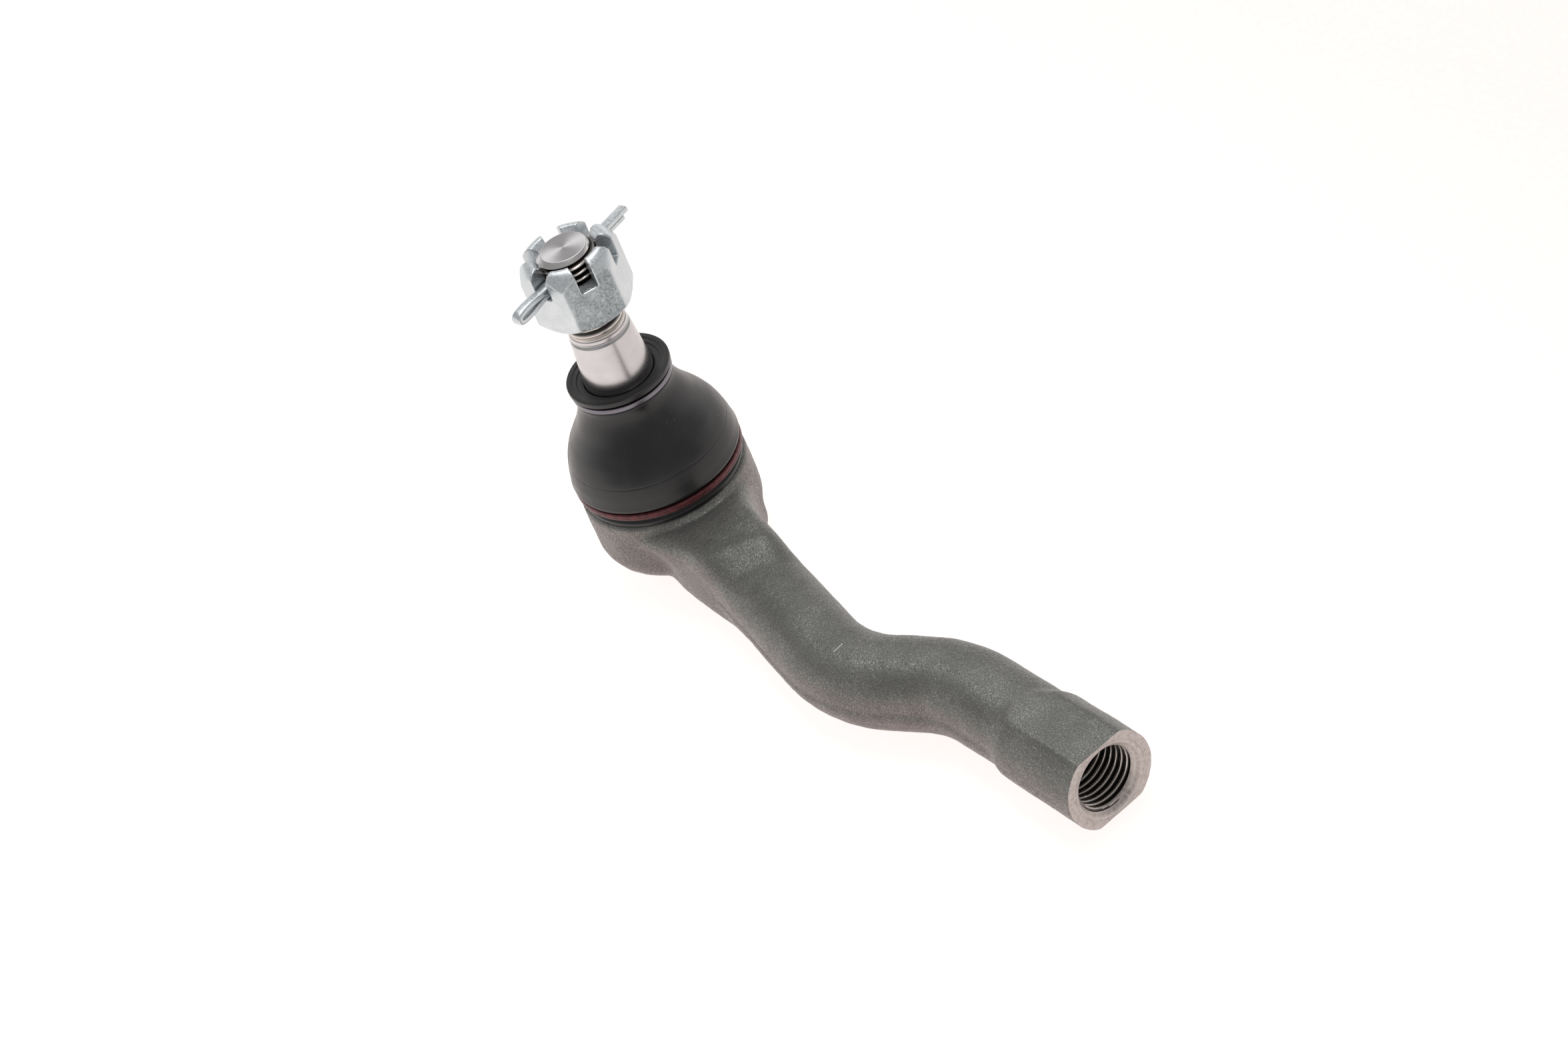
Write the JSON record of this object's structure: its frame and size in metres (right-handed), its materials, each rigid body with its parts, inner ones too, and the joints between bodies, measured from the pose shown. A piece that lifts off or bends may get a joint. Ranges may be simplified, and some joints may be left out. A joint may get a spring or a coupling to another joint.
{
  "type": "tie rod end",
  "caption": "Outer tie rod end: offset forged arm with a threaded barrel, ball stud in a rubber boot, castle nut and cotter pin.",
  "frame": {"origin": "centre of the ball, which is the joint's pivot", "axes": "+Z along the stud to its threaded end, +X along the rod to the open end of its thread, +Y completes the right-handed frame; the arm bows to -Y"},
  "size_m": [0.1555, 0.0385, 0.0824],
  "materials": {
    "forged_steel": "dark phosphated forging, matte",
    "seat_plastic": "moulded acetal",
    "spring_steel": "hardened spring steel",
    "ground_steel": "ground and polished",
    "boot_rubber": "satin moulded rubber",
    "ring_steel": "bright rolled steel",
    "coated_wire": "dark red coated wire",
    "grease": "lithium grease",
    "zinc_plate": "zinc plated, slightly hazy"
  },
  "bodies": {
    "housing": {"housing": "forged_steel", "lower_ball_seat": "seat_plastic", "upper_ball_seat": "seat_plastic", "preload_spring": "spring_steel", "retainer_ring": "spring_steel", "dust_boot": "boot_rubber", "boot_base_ring": "coated_wire"},
    "grease": {"grease_pack": "grease"},
    "boot_collar": {"boot_neck_ring": "ring_steel"},
    "stud": {"ball_stud": "ground_steel", "castle_nut": "zinc_plate", "cotter_pin": "zinc_plate"}
  },
  "joints": [
    {"name": "stud_tilt_y", "type": "hinge", "parent": "housing", "child": "grease", "pos_m": [0, 0, 0], "axis": [0, 1, 0], "range_deg": [-14, 14], "deforming": ["dust_boot", "grease_pack"]},
    {"name": "stud_tilt_x", "type": "hinge", "parent": "grease", "child": "boot_collar", "pos_m": [0, 0, 0], "axis": [1, 0, 0], "range_deg": [-14, 14], "deforming": ["dust_boot", "grease_pack"]},
    {"name": "stud_spin", "type": "hinge", "parent": "boot_collar", "child": "stud", "pos_m": [0, 0, 0], "axis": [0, 0, 1], "continuous": true}
  ]
}
